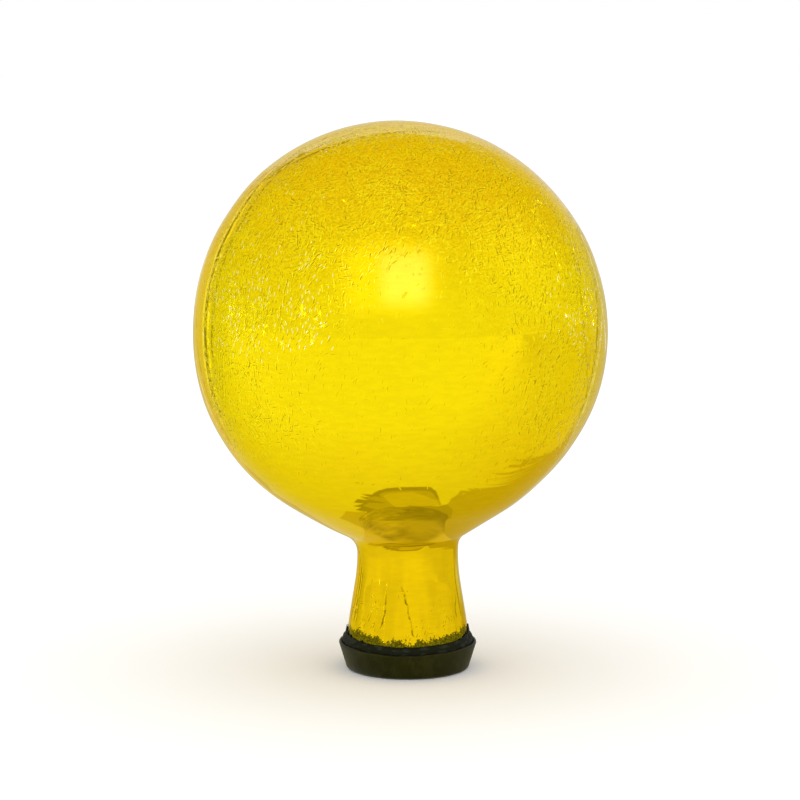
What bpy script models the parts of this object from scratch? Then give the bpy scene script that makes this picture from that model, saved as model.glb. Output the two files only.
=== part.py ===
"""Gazing ball of yellow crackle glass, silvered inside, on a black rubber stopper.

The ball and its flared neck are one blown wall. The neck's lip stands in a groove of the rubber
stopper, whose plug reaches a little way up inside the neck, and a bead of sealant fills the space
between the neck and the stopper's flared wall.

Lengths are in metres and angles in radians. +Z is up, the front faces -Y, and the origin is the
middle of the stopper's flat foot, on the neck's axis.
"""

import math

import bmesh
import bpy
from mathutils import Vector

# Glass
BALL_DIAMETER = 0.254
GLASS_WALL = 0.003
BALL_OFFSET = 0.0053  # the ball was blown this far off the neck's axis, towards -X
SHOULDER_SLOPE = math.radians(31.3)  # of the cone between ball and neck, from the horizontal
SHOULDER_FILLET = 0.0122  # outer radius of the hollow curve where that cone turns into the neck
NECK_LENGTH = 0.0755  # from the lip to where the ball's underside would be
WAIST_DIAMETER = 0.0624  # the narrowest place, just under the shoulder
WAIST_DROP = 0.0049  # from the end of the fillet down to the waist
WAIST_EASE = 0.0005  # by which the neck narrows over that drop
FLARE_BLEND = 0.0182  # length below the waist over which the flare sets in
MOUTH_DIAMETER = 0.0759  # of the straight band at the lip, inside the stopper

# Rubber stopper
STOPPER_HEIGHT = 0.017  # from the foot to the rim
STOPPER_FLOOR = 0.008  # thickness of rubber under the glass lip
STOPPER_WALL = 0.002
STOPPER_LEAN = math.radians(16.9)  # outward lean of the flared wall
FOOT_EDGE = 0.0025  # radius of the rounded lower edge
PLUG_HEIGHT = 0.016  # of the plug inside the neck, above the groove's floor
PLUG_EDGE = 0.0035  # radius of the plug's rounded upper edge

# Sealant
BEAD_FOOT_WIDTH = 0.0009  # of the bead where it starts, down between glass and rubber
BEAD_RISE = 0.0042  # of the bead above the stopper's rim
BEAD_LAP = 0.0006  # width of the bead's crest against the glass

# Clearance between touching pieces
SEAT_GAP = 0.0003

# Fineness of the turned shapes
TURN_STEPS = 52
BALL_RINGS = 20
FILLET_RINGS = 5
FLARE_RINGS = 6
EDGE_STEPS = 4

BALL_RADIUS = BALL_DIAMETER / 2
WAIST_RADIUS = WAIST_DIAMETER / 2
MOUTH_RADIUS = MOUTH_DIAMETER / 2
LIP_HEIGHT = STOPPER_FLOOR + SEAT_GAP
BEAD_TOP = STOPPER_HEIGHT + BEAD_RISE
BAND_HEIGHT = BEAD_TOP - LIP_HEIGHT  # of the neck's straight band, which ends at the bead's crest


def arc(centre, radius, start, end, steps):
    """Return steps + 1 points (r, z) on an arc, with angles counted from +r towards +z."""
    angles = [start + (end - start) * i / steps for i in range(steps + 1)]
    return [
        (centre[0] + radius * math.cos(a), centre[1] + radius * math.sin(a)) for a in angles
    ]


def smoothstep(value):
    """Ease a value from 0 to 1, level at both ends."""
    value = min(max(value, 0.0), 1.0)
    return value * value * (3 - 2 * value)


class Shoulder:
    """The cone and fillet between the ball and the neck, in heights above the lip."""

    def __init__(self):
        self.ball_centre = NECK_LENGTH + BALL_RADIUS
        self.joint_radius = BALL_RADIUS * math.sin(SHOULDER_SLOPE)
        self.joint_height = self.ball_centre - BALL_RADIUS * math.cos(SHOULDER_SLOPE)
        # The fillet ends leaning by the slope with which the easing towards the waist begins.
        self.end_angle = math.pi / 2 - math.atan2(2 * WAIST_EASE, WAIST_DROP)
        end_radius = WAIST_RADIUS + WAIST_EASE
        self.fillet_radius = end_radius + SHOULDER_FILLET * math.sin(self.end_angle)
        cone_foot = self.fillet_radius - SHOULDER_FILLET * math.sin(SHOULDER_SLOPE)
        cone_drop = (self.joint_radius - cone_foot) * math.tan(SHOULDER_SLOPE)
        cone_foot_height = self.joint_height - cone_drop
        self.fillet_height = cone_foot_height - SHOULDER_FILLET * math.cos(SHOULDER_SLOPE)
        self.end_height = self.fillet_height + SHOULDER_FILLET * math.cos(self.end_angle)
        self.waist_height = self.end_height - WAIST_DROP


SHOULDER = Shoulder()
FLARE_DROP = SHOULDER.waist_height - BAND_HEIGHT
FLARE_SLOPE = (MOUTH_RADIUS - WAIST_RADIUS) / (FLARE_DROP - FLARE_BLEND / 2)


def neck_radius(height):
    """Outer radius of the neck at a height above the lip, from the lip to the fillet's end."""
    drop = SHOULDER.waist_height - height
    if drop < 0:
        return WAIST_RADIUS + WAIST_EASE * (drop / WAIST_DROP) ** 2
    if drop < FLARE_BLEND:
        return WAIST_RADIUS + FLARE_SLOPE * drop * drop / (2 * FLARE_BLEND)
    return WAIST_RADIUS + FLARE_SLOPE * (min(drop, FLARE_DROP) - FLARE_BLEND / 2)


def neck_bore(height):
    """Inner radius of the neck at a height above the lip."""
    return neck_radius(height) - GLASS_WALL * math.hypot(1, FLARE_SLOPE)


def glass_outside():
    """Outline of the glass from the top of the lip's round edge up to the ball's pole."""
    outline = [(MOUTH_RADIUS, GLASS_WALL / 2)]
    for i in range(FLARE_RINGS + 1):
        height = BAND_HEIGHT + FLARE_DROP * i / FLARE_RINGS
        outline.append((neck_radius(height), height))
    middle = SHOULDER.waist_height + WAIST_DROP / 2
    outline.append((neck_radius(middle), middle))
    outline += arc(
        (SHOULDER.fillet_radius, SHOULDER.fillet_height),
        SHOULDER_FILLET,
        math.pi / 2 + SHOULDER.end_angle,
        math.pi / 2 + SHOULDER_SLOPE,
        FILLET_RINGS,
    )
    outline += arc(
        (0, SHOULDER.ball_centre), BALL_RADIUS, SHOULDER_SLOPE - math.pi / 2, math.pi / 2, BALL_RINGS
    )
    outline[-1] = (0, SHOULDER.ball_centre + BALL_RADIUS)
    return outline


def moved_inwards(outline, distance):
    """Return an outline that runs upwards moved square to itself, towards the axis."""
    moved = []
    for i, point in enumerate(outline):
        before = Vector(outline[max(i - 1, 0)])
        after = Vector(outline[min(i + 1, len(outline) - 1)])
        along = (after - before).normalized()
        moved.append((point[0] - along.y * distance, point[1] + along.x * distance))
    pole_height = outline[-1][1]
    moved[0] = (outline[0][0] - distance, outline[0][1])
    moved[-1] = (0, pole_height - distance)
    return moved


def glass_outline():
    """Outline of the blown wall: inner pole, down inside, round the lip and up outside."""
    outside = glass_outside()
    inside = moved_inwards(outside, GLASS_WALL)
    lip = arc(
        (MOUTH_RADIUS - GLASS_WALL / 2, GLASS_WALL / 2), GLASS_WALL / 2, -math.pi, 0, EDGE_STEPS
    )
    return inside[::-1] + lip[1:-1] + outside


def stopper_wall_radius(height):
    """Inner radius of the stopper's flared wall at a height above the foot."""
    lean = (height - STOPPER_FLOOR) * math.tan(STOPPER_LEAN)
    return MOUTH_RADIUS + SEAT_GAP + lean


def stopper_outline():
    """Outline of the stopper: foot, flared wall, rim, groove for the glass lip, and plug."""
    foot_line = stopper_wall_radius(FOOT_EDGE) + STOPPER_WALL
    foot_corner = (foot_line - FOOT_EDGE / math.cos(STOPPER_LEAN), FOOT_EDGE)
    outline = [(0, 0)]
    outline += arc(foot_corner, FOOT_EDGE, -math.pi / 2, -STOPPER_LEAN, EDGE_STEPS)
    rim_half = STOPPER_WALL * math.cos(STOPPER_LEAN) / 2
    rim_height = STOPPER_HEIGHT - rim_half
    rim_middle = (stopper_wall_radius(rim_height) + STOPPER_WALL / 2, rim_height)
    outline += arc(rim_middle, rim_half, -STOPPER_LEAN, math.pi - STOPPER_LEAN, EDGE_STEPS)
    outline.append((stopper_wall_radius(STOPPER_FLOOR), STOPPER_FLOOR))
    plug_top = STOPPER_FLOOR + PLUG_HEIGHT
    plug_foot = neck_bore(0) - SEAT_GAP
    outline.append((plug_foot, STOPPER_FLOOR))
    for radius, height in arc((0, plug_top - PLUG_EDGE), PLUG_EDGE, 0, math.pi / 2, EDGE_STEPS):
        bore = neck_bore(height - LIP_HEIGHT) - SEAT_GAP
        outline.append((bore - PLUG_EDGE + radius, height))
    outline.append((0, plug_top))
    return outline


def bead_outline():
    """Closed outline of the sealing bead, which widens upwards between glass and rubber."""
    foot = STOPPER_FLOOR + (BEAD_FOOT_WIDTH + SEAT_GAP) / math.tan(STOPPER_LEAN)
    rim_radius = stopper_wall_radius(STOPPER_HEIGHT) - SEAT_GAP
    glass_radius = MOUTH_RADIUS + SEAT_GAP
    crest_width = rim_radius - glass_radius - BEAD_LAP
    crest = [
        (rim_radius - crest_width * (1 - math.cos(a)), STOPPER_HEIGHT + BEAD_RISE * math.sin(a))
        for a in [math.pi / 2 * i / EDGE_STEPS for i in range(EDGE_STEPS + 1)]
    ]
    return [
        (glass_radius, foot),
        (glass_radius + BEAD_FOOT_WIDTH - SEAT_GAP / 2, foot),
        *crest,
        (glass_radius, BEAD_TOP),
    ]


def turned(outline, closed):
    """Turn an outline of (r, z) points about the Z axis into a closed bmesh."""
    shape = bmesh.new()
    points = [shape.verts.new((radius, 0, height)) for radius, height in outline]
    for first, second in zip(points, points[1:]):
        shape.edges.new((first, second))
    if closed:
        shape.edges.new((points[-1], points[0]))
    bmesh.ops.spin(
        shape,
        geom=shape.verts[:] + shape.edges[:],
        cent=(0, 0, 0),
        axis=(0, 0, 1),
        angle=2 * math.pi,
        steps=TURN_STEPS,
        use_merge=True,
    )
    bmesh.ops.remove_doubles(shape, verts=shape.verts, dist=1e-6)
    bmesh.ops.recalc_face_normals(shape, faces=shape.faces)
    return shape


def set_off_axis(shape):
    """Lean the glass sideways over the height of the shoulder, so the ball sits off the axis."""
    rise = SHOULDER.joint_height - SHOULDER.waist_height
    for vert in shape.verts:
        share = smoothstep((vert.co.z - SHOULDER.waist_height) / rise)
        vert.co.x -= BALL_OFFSET * share


def surface(name, colour, metallic, roughness):
    """Make a plain material from a linear colour, a metallic value and a roughness."""
    material = bpy.data.materials.new(name)
    material.use_nodes = True
    shader = material.node_tree.nodes["Principled BSDF"]
    shader.inputs["Base Color"].default_value = (*colour, 1)
    shader.inputs["Metallic"].default_value = metallic
    shader.inputs["Roughness"].default_value = roughness
    return material


def add_piece(name, shape, height, material, parent):
    """Put a finished shape into the scene as a named, smooth-shaded object."""
    mesh = bpy.data.meshes.new(name)
    shape.to_mesh(mesh)
    shape.free()
    mesh.shade_smooth()
    mesh.set_sharp_from_angle(angle=math.radians(40))
    mesh.materials.append(material)
    piece = bpy.data.objects.new(name, mesh)
    piece.location.z = height
    piece.parent = parent
    bpy.context.scene.collection.objects.link(piece)
    return piece


def build():
    """Build the whole gazing ball."""
    for old in list(bpy.data.objects):
        bpy.data.objects.remove(old)
    silvered_glass = surface("silvered_glass", (0.83, 0.63, 0.002), 1.0, 0.12)
    black_rubber = surface("black_rubber", (0.016, 0.016, 0.010), 0.0, 0.6)
    black_sealant = surface("black_sealant", (0.018, 0.020, 0.017), 0.0, 0.4)

    whole = bpy.data.objects.new("gazing_ball", None)
    bpy.context.scene.collection.objects.link(whole)

    glass = turned(glass_outline(), closed=False)
    set_off_axis(glass)
    add_piece("globe", glass, LIP_HEIGHT, silvered_glass, whole)
    add_piece("stopper", turned(stopper_outline(), closed=False), 0, black_rubber, whole)
    add_piece("sealing_bead", turned(bead_outline(), closed=True), 0, black_sealant, whole)


build()
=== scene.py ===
"""Looks of a gazing ball: yellow crackle glass, silvered inside, on a black rubber stopper.

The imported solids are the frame. Each visible piece is modelled anew around them: the blown globe
with its hand-made waviness and crackle, the moulded stopper, and the smeared bead of sealant.

Lengths are in millimetres where a name ends in mm, and in metres otherwise. +Z is up and the
front faces -Y.
"""

import logging
import math
import random
from dataclasses import dataclass, field
from enum import Enum
from functools import cached_property
from typing import Any, Iterable, Optional

import bmesh
import bpy
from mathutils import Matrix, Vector, noise


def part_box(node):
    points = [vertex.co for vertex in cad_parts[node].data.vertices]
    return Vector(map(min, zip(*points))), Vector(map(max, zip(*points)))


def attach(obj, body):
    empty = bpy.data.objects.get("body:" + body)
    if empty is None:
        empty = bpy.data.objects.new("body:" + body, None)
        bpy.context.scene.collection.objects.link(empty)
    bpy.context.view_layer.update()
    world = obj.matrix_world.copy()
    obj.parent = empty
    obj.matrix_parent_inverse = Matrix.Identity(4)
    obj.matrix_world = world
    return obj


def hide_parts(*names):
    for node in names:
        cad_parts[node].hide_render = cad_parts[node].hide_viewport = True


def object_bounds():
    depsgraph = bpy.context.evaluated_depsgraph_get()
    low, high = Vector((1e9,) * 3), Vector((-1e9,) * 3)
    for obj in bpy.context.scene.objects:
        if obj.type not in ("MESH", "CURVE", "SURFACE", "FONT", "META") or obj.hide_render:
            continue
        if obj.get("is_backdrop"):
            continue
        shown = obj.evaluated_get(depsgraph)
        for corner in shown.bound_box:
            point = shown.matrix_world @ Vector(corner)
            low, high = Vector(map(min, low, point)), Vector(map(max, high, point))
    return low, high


LOG = logging.getLogger("gazing_ball")
MM = 0.001
BODY = "root"

# A texture's scale is this over the size of its features in millimetres.
PER_MM = 1000.0

# The kind of node that eases from one number to another while a value passes from low to high.
EASE = "MapRange.SMOOTHSTEP"

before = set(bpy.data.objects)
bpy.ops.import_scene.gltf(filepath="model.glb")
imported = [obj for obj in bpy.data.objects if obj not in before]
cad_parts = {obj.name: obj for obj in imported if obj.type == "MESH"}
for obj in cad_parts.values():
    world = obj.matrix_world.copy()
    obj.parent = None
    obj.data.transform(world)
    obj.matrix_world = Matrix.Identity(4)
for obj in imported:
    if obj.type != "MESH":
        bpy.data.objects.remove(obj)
CAD_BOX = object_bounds()

Point = tuple[float, float]
Triple = tuple[float, float, float]
Colour = tuple[float, float, float, float]
Shape = bmesh.types.BMesh
Node = bpy.types.Node
Socket = bpy.types.NodeSocket
Source = Node | Socket | float | tuple[float, ...]

# The setting that the word after the dot in a node's kind goes to.
MODES = {
    "Math": "operation",
    "VectorMath": "operation",
    "MapRange": "interpolation_type",
    "Mix": "data_type",
    "TexVoronoi": "feature",
}


class Slot(Enum):
    """The material slots."""

    GLASS = "silvered_glass"
    RUBBER = "black_rubber"
    SEALANT = "black_sealant"


def smoothstep(value: float) -> float:
    """Ease a value from 0 to 1, level at both ends."""
    value = min(max(value, 0.0), 1.0)
    return value * value * (3 - 2 * value)


def linear(code: str) -> Colour:
    """Turn an sRGB hex colour into the linear colour that the shaders read.

    Args:
        code: The colour, such as "#F7DD04".

    Returns:
        Its linear red, green and blue, and an alpha of 1.
    """
    parts = [int(code[i : i + 2], 16) / 255 for i in (1, 3, 5)]
    red, green, blue = [c / 12.92 if c <= 0.04045 else ((c + 0.055) / 1.055) ** 2.4 for c in parts]
    return (red, green, blue, 1.0)


def arc(centre: Point, radius: float, start: float, end: float, steps: int) -> list[Point]:
    """Work out points on an arc in the (r, z) plane.

    Args:
        centre: The arc's centre.
        radius: The arc's radius.
        start: First angle in radians, from +r towards +z.
        end: Last angle in radians.
        steps: Number of equal steps between the two.

    Returns:
        The steps + 1 points.
    """
    angles = [start + (end - start) * i / steps for i in range(steps + 1)]
    return [(centre[0] + radius * math.cos(a), centre[1] + radius * math.sin(a)) for a in angles]


@dataclass
class Pattern:
    """A node tree that a pattern is drawn in."""

    tree: bpy.types.NodeTree

    def node(self, kind: str, *values: Source, **named: Source) -> Node:
        """Add a node with its settings and links.

        Args:
            kind: Its type name without the leading "ShaderNode", then a dot and its mode, if any.
            values: Nodes, sockets or plain values for the inputs in use, in order. A node stands
                for its first output in use.
            named: The same for inputs by name, with _ for a space.

        Returns:
            The new node.
        """
        kind, _, mode = kind.partition(".")
        node = self.tree.nodes.new("ShaderNode" + kind)
        if mode:
            setattr(node, MODES[kind], mode)
        wanted = list(zip([socket for socket in node.inputs if socket.enabled], values))
        wanted += [(node.inputs[name.replace("_", " ")], value) for name, value in named.items()]
        for socket, source in wanted:
            if isinstance(source, Node):
                source = next(output for output in source.outputs if output.enabled)
            if isinstance(source, Socket):
                self.tree.links.new(source, socket)
            else:
                socket.default_value = source
        return node

    @cached_property
    def place(self) -> Socket:
        """Position on the piece, in metres."""
        return self.node("TexCoord").outputs["Object"]

    @cached_property
    def across(self) -> Socket:
        """How far to the right the position is."""
        return self.node("SeparateXYZ", self.place).outputs["X"]

    @cached_property
    def height(self) -> Socket:
        """How high above the floor the position is."""
        return self.node("SeparateXYZ", self.place).outputs["Z"]

    def stretched(self, x: float, y: float, z: float) -> Node:
        """Scale the position along its axes: below 1 draws a pattern out, above 1 packs it."""
        return self.node("VectorMath.MULTIPLY", self.place, (x, y, z))

    def warped(self, place: Source, size_mm: float, reach_mm: float) -> Node:
        """Shift a position about by soft noise.

        Args:
            place: The position.
            size_mm: Size of the noise's features.
            reach_mm: Typical shift.

        Returns:
            The shifted position.
        """
        wander = self.node("TexNoise", place, PER_MM / size_mm, 2.0).outputs["Color"]
        centred = self.node("VectorMath.SUBTRACT", wander, (0.5, 0.5, 0.5))
        shift = self.node("VectorMath.SCALE", centred, 4 * reach_mm * MM)
        return self.node("VectorMath.ADD", place, shift)

    def surface(self, relief: Node, **sockets: Source) -> None:
        """Add the surface shader, bent by a relief in metres, and the output."""
        normal = self.node("Bump", 1.0, 1.0, 1.0, relief)
        self.node("OutputMaterial", self.node("BsdfPrincipled", Normal=normal, **sockets))


def new_material(name: str) -> tuple[bpy.types.Material, Pattern]:
    """Make a material with an empty node tree.

    Args:
        name: What the real material is.

    Returns:
        The material, and the pattern that fills its tree.
    """
    material = bpy.data.materials.new(name)
    material.use_nodes = True
    material.node_tree.nodes.clear()
    return material, Pattern(material.node_tree)


def turned(outline: Iterable[Point], steps: int, closed: bool) -> Shape:
    """Turn an outline about the Z axis into a closed shape.

    Args:
        outline: Points (r, z) in metres.
        steps: Number of steps round the axis.
        closed: Whether the last point joins the first.

    Returns:
        The closed shape, with its faces pointing out.
    """
    shape = bmesh.new()
    points = [shape.verts.new((radius, 0, height)) for radius, height in outline]
    for first, second in zip(points, points[1:]):
        shape.edges.new((first, second))
    if closed:
        shape.edges.new((points[-1], points[0]))
    bmesh.ops.spin(
        shape,
        geom=shape.verts[:] + shape.edges[:],
        cent=(0, 0, 0),
        axis=(0, 0, 1),
        angle=2 * math.pi,
        steps=steps,
        use_merge=True,
    )
    bmesh.ops.remove_doubles(shape, verts=shape.verts, dist=1e-6)
    bmesh.ops.recalc_face_normals(shape, faces=shape.faces)
    return shape


def add_object(name: str, shape: Shape, material: bpy.types.Material) -> bpy.types.Object:
    """Put a shape into the scene.

    Args:
        name: The object's name.
        shape: The shape, which is freed.
        material: Its finish.

    Returns:
        The new object.
    """
    mesh = bpy.data.meshes.new(name)
    shape.to_mesh(mesh)
    shape.free()
    mesh.materials.append(material)
    added = bpy.data.objects.new(name, mesh)
    bpy.context.scene.collection.objects.link(added)
    return added


def add_piece(
    name: str,
    shape: Shape,
    material: bpy.types.Material,
    slot: Slot,
    replaced: str,
    crease_deg: float = 60.0,
) -> None:
    """Put a finished piece into the scene, riding on the body, and report it.

    Args:
        name: The piece's name.
        shape: The shape, in place, which is freed.
        material: Its finish.
        slot: The slot for that finish. It is not used.
        replaced: Name of the CAD node that it stands for.
        crease_deg: Edges sharper than this stay sharp in the shading.
    """
    piece = add_object(name, shape, material)
    piece.data.shade_smooth()
    piece.data.set_sharp_from_angle(angle=math.radians(crease_deg))
    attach(piece, BODY)
    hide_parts(replaced)
    LOG.info("%s: %d faces", name, len(piece.data.polygons))


@dataclass(frozen=True)
class Dash:
    """Sizes of the short strokes that crackle is made of.

    Attributes:
        apart_mm: Mean distance between strokes.
        long_mm: Length of a stroke.
        half_wide_mm: Half of its width.
        deep_mm: Depth of a dark stroke and height of a bright one.
        dark_share: Share of the strokes that look dark.
        shift: Moves the strokes, so that each set falls elsewhere.
        level_share: Share of the usual number of level strokes.
    """

    apart_mm: float
    long_mm: float
    half_wide_mm: float
    deep_mm: float
    dark_share: float
    shift: Triple
    level_share: float = 1.0


DASHES = (
    Dash(4.4, 5.4, 0.42, 0.12, 0.46, (0.0, 0.0, 0.0)),
    Dash(3.1, 3.6, 0.34, 0.09, 0.42, (0.31, 0.17, 0.53)),
    Dash(2.6, 2.4, 0.30, 0.07, 0.38, (0.77, 0.41, 0.19)),
)
# Short white strokes: painted glints, as if lamps caught in the cracks.
WHITE_GLINT_DASHES = Dash(3.6, 3.0, 0.42, 0.05, 0.0, (0.53, 0.29, 0.71), 0.0)


@dataclass(frozen=True)
class NeckCrack:
    """A long crack that runs up the neck.

    Attributes:
        azimuth_deg: Where its top is, from the front to the right.
        top_mm: Height of its top above the floor.
        foot_mm: Height of its foot.
        lean: How far it goes to the right for each millimetre down.
        half_wide_mm: Half of its width.
    """

    azimuth_deg: float
    top_mm: float
    foot_mm: float
    lean: float
    half_wide_mm: float


NECK_CRACKS = (
    NeckCrack(-22.0, 58.0, 30.0, -0.10, 0.75),
    NeckCrack(-8.0, 62.0, 25.0, 0.24, 0.90),
    NeckCrack(62.0, 55.0, 34.0, -0.15, 0.60),
    NeckCrack(118.0, 60.0, 27.0, 0.18, 0.80),
    NeckCrack(-78.0, 52.0, 26.0, 0.12, 0.70),
    NeckCrack(-138.0, 61.0, 33.0, -0.20, 0.85),
)


@dataclass(frozen=True)
class CrackleGlass:
    """Blown glass with a silvered back, quenched so that it crackles.

    The silver film under yellow glass gives a tinted mirror, with a thin clear coat over it. The
    tint is deeper where the glass is thicker, at the neck and the pole. The crackle is made of
    short strokes, which mostly run up or round the ball and gather along longer cracks. Some look
    dark. The bright ones are painted glints, as are a painted highlight beside each dark stroke and
    the white strokes in bands at the ball's sides. The silver ends raggedly a little above the sealant.
    """

    neck_tint: Colour = linear("#ECC403")
    low_tint: Colour = linear("#F2D103")
    middle_tint: Colour = linear("#F7DD04")
    pole_tint: Colour = linear("#F6C704")
    edge_tint: Colour = linear("#FFF6B8")
    bare: Colour = linear("#484202")
    thin_silver: Colour = linear("#7E7303")
    dark_crack: Colour = linear("#A26900")
    deep_crack: Colour = linear("#504500")
    # Colour of the pale strokes, which are painted glints.
    crack_glint: Colour = linear("#FFF71D")
    # Colour of the painted white glints.
    white_glint: Colour = linear("#FFFFA8")
    warmth: Triple = (1.06, 0.97, 1.0)
    roughness: float = 0.06
    coat: float = 0.03

    # Heights over which each tint takes over from the one below, and where it is warmer.
    low_heights: Point = (0.085, 0.125)
    middle_heights: Point = (0.13, 0.22)
    pole_heights: Point = (0.24, 0.35)
    warm_heights: Point = (0.20, 0.25)
    warm_across: Point = (0.015, 0.085)

    # How the strokes run: most upright, more of them level towards the pole, and none quite so.
    upright: Triple = (0.0, 0.0, 1.0)
    level_low: float = 0.22
    level_high: float = 0.62
    level_heights: Point = (0.235, 0.300)
    swirl_mm: float = 26.0
    swirl: float = 2.4
    stray: float = 0.8
    full_share: float = 0.4
    # A painted highlight beside each dark stroke: its brightness, and how far off it lies in half widths.
    glint_beside: float = 0.75
    glint_off: float = 1.7

    # Where the strokes are: on the ball, but few at its smooth places and along its edges.
    ball_heights: Point = (0.118, 0.172)
    smooth_spot: Triple = (0.000, -0.122, 0.185)
    smooth_reach: Point = (0.030, 0.115)
    clear_spot: Triple = (0.002, -0.122, 0.243)
    clear_reach: Point = (0.010, 0.040)
    right_edge: Point = (0.105, 0.116)
    left_edge: Point = (-0.124, -0.113)
    neck_heights: Point = (0.040, 0.075)
    gathering_mm: float = 19.0
    gathering_reach: Point = (0.02, 0.11)

    # The bands where the white strokes, painted glints, lie.
    white_middle: float = 19 * MM
    white_sides: Point = (0.055, 0.079)
    white_foot: Point = (0.200, 0.212)
    white_top: Point = (0.246, 0.278)

    # The neck's long cracks.
    neck_radius: float = 34 * MM
    crack_wander: float = 5 * MM
    crack_foot_fade: float = 4 * MM
    crack_top_fade: float = 16 * MM
    crack_depth: float = 0.10 * MM

    # The soft cords that run round blown glass, and the silver's ragged end, lower at the sides.
    cord_depth: float = 0.008 * MM
    bare_top: float = 23.2 * MM
    rag: float = 9 * MM
    side_across: Point = (0.010, 0.036)
    side_drop: float = 4 * MM
    silver_edge: float = 0.7 * MM

    def dashes(self, pattern: Pattern, place: Node, dash: Dash, share: Node) -> tuple[Node, Node]:
        """Strew short separate strokes over the glass, most of them upright and some level.

        Args:
            pattern: The material's pattern.
            place: The warped position.
            dash: The strokes' sizes.
            share: Share of the strokes that are there.

        Returns:
            A value of 1 on a stroke and 0 away from it, for the dark strokes and for the bright ones.
            The bright ones are painted glints: the pale strokes, and a painted highlight beside each
            dark stroke.
        """
        node = pattern.node
        moved = node("VectorMath.ADD", place, dash.shift)
        net = node("TexVoronoi.F1", moved, PER_MM / dash.apart_mm).outputs
        chance = node("SeparateColor", net["Color"]).outputs
        outwards = node("TexCoord").outputs["Normal"]
        around = node("VectorMath.CROSS_PRODUCT", self.upright, outwards)
        height = node("SeparateXYZ", place).outputs["Z"]
        least, most = self.level_low * dash.level_share, self.level_high * dash.level_share
        limit = node(EASE, height, *self.level_heights, least, most)
        level = node("Math.LESS_THAN", chance["Red"], limit)
        steer = node("Mix.RGBA", level, around, (*self.upright, 1.0))
        swirl = node("TexNoise", place, PER_MM / self.swirl_mm, 1.0).outputs["Color"]
        way = node(
            "VectorMath.ADD",
            node("VectorMath.SCALE", swirl, self.swirl),
            node("VectorMath.SCALE", net["Color"], self.stray),
        )
        way = node("VectorMath.SUBTRACT", way, ((self.swirl + self.stray) / 2,) * 3)
        way = node("VectorMath.ADD", way, steer)
        along = node("VectorMath.NORMALIZE", node("VectorMath.CROSS_PRODUCT", outwards, way))
        aside = node("VectorMath.CROSS_PRODUCT", outwards, along)
        off = node("VectorMath.SUBTRACT", moved, net["Position"])
        run = node("Math.ABSOLUTE", node("VectorMath.DOT_PRODUCT", off, along))
        out = node("VectorMath.DOT_PRODUCT", off, aside)
        half, wide = dash.long_mm * MM / 2, dash.half_wide_mm * MM
        there = node("Math.LESS_THAN", chance["Green"], share)
        there = node("Math.MULTIPLY", there, node(EASE, run, self.full_share * half, half, 1.0, 0.0))
        core = node(EASE, node("Math.ABSOLUTE", out), 0.0, wide, 1.0, 0.0)
        beside = node("Math.ABSOLUTE", node("Math.SUBTRACT", out, self.glint_off * wide))
        beside = node(EASE, beside, 0.0, wide, self.glint_beside, 0.0)
        is_dark = node("Math.LESS_THAN", chance["Blue"], dash.dark_share)
        stroke = node("Math.MULTIPLY", core, there)
        dark = node("Math.MULTIPLY", stroke, is_dark)
        # Painted highlight: a bright line beside each dark stroke.
        lit = node("Math.MULTIPLY", node("Math.MULTIPLY", beside, there), is_dark)
        return dark, node("Math.ADD", node("Math.SUBTRACT", stroke, dark), lit)

    def gathered(self, pattern: Pattern) -> Node:
        """Work out how near the long cracks that the strokes gather along are, from 0 to 1."""
        place = pattern.warped(pattern.stretched(1.0, 1.0, 0.6), 20.0, 3.0)
        net = pattern.node("TexVoronoi.DISTANCE_TO_EDGE", place, PER_MM / self.gathering_mm)
        return pattern.node(EASE, net, *self.gathering_reach, 1.0, 0.0)

    def white_glint_share(self, pattern: Pattern) -> Node:
        """Work out how many white strokes there are, most of them in bands at the ball's sides.

        Args:
            pattern: The material's pattern.

        Returns:
            Their share, from 0 to 1.
        """
        # Painted glints: the white strokes lie in bands at the ball's sides.
        node, height = pattern.node, pattern.height
        aside = node("Math.ABSOLUTE", node("Math.ADD", pattern.across, -self.white_middle))
        foot, top = node(EASE, height, *self.white_foot), node(EASE, height, *self.white_top, 1.0, 0.06)
        band = node("Math.MULTIPLY", foot, top)
        band = node("Math.MULTIPLY", band, node(EASE, aside, *self.white_sides))
        patch = node("TexNoise", pattern.place, PER_MM / 15.0, 2.0)
        return node("Math.MULTIPLY", node(EASE, patch, 0.38, 0.56, 0.0, 0.60), band)

    def neck_cracks(self, pattern: Pattern) -> Node:
        """Draw the long cracks that run up the neck.

        Args:
            pattern: The material's pattern.

        Returns:
            A value of 1 in a crack and 0 away from it.
        """
        node, height = pattern.node, pattern.height
        front = node("Math.MULTIPLY", node("SeparateXYZ", pattern.place).outputs["Y"], -1.0)
        azimuth = node("Math.ARCTAN2", pattern.across, front)
        wander = node("TexNoise", pattern.place, PER_MM / 7.0, 3.0)
        wander = node("Math.MULTIPLY_ADD", wander, self.crack_wander, -self.crack_wander / 2)
        kept = node("TexNoise", pattern.place, PER_MM / 3.5, 2.0)
        kept = node(EASE, kept, 0.38, 0.56, 0.25, 1.0)
        drawn: Source = 0.0
        for crack in NECK_CRACKS:
            foot, top = crack.foot_mm * MM, crack.top_mm * MM
            start = -math.radians(crack.azimuth_deg) * self.neck_radius - crack.lean * top
            aside = node("Math.MULTIPLY_ADD", azimuth, self.neck_radius, start)
            aside = node("Math.MULTIPLY_ADD", height, crack.lean, aside)
            aside = node("Math.ABSOLUTE", node("Math.ADD", aside, wander))
            line = node(EASE, aside, 0.0, crack.half_wide_mm * MM, 1.0, 0.0)
            from_foot = node(EASE, height, foot, foot + self.crack_foot_fade)
            to_top = node(EASE, height, top - self.crack_top_fade, top, 1.0, 0.0)
            ends = node("Math.MULTIPLY", from_foot, to_top)
            drawn = node("Math.MAXIMUM", drawn, node("Math.MULTIPLY", line, ends))
        return node("Math.MULTIPLY", drawn, kept)

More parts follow.
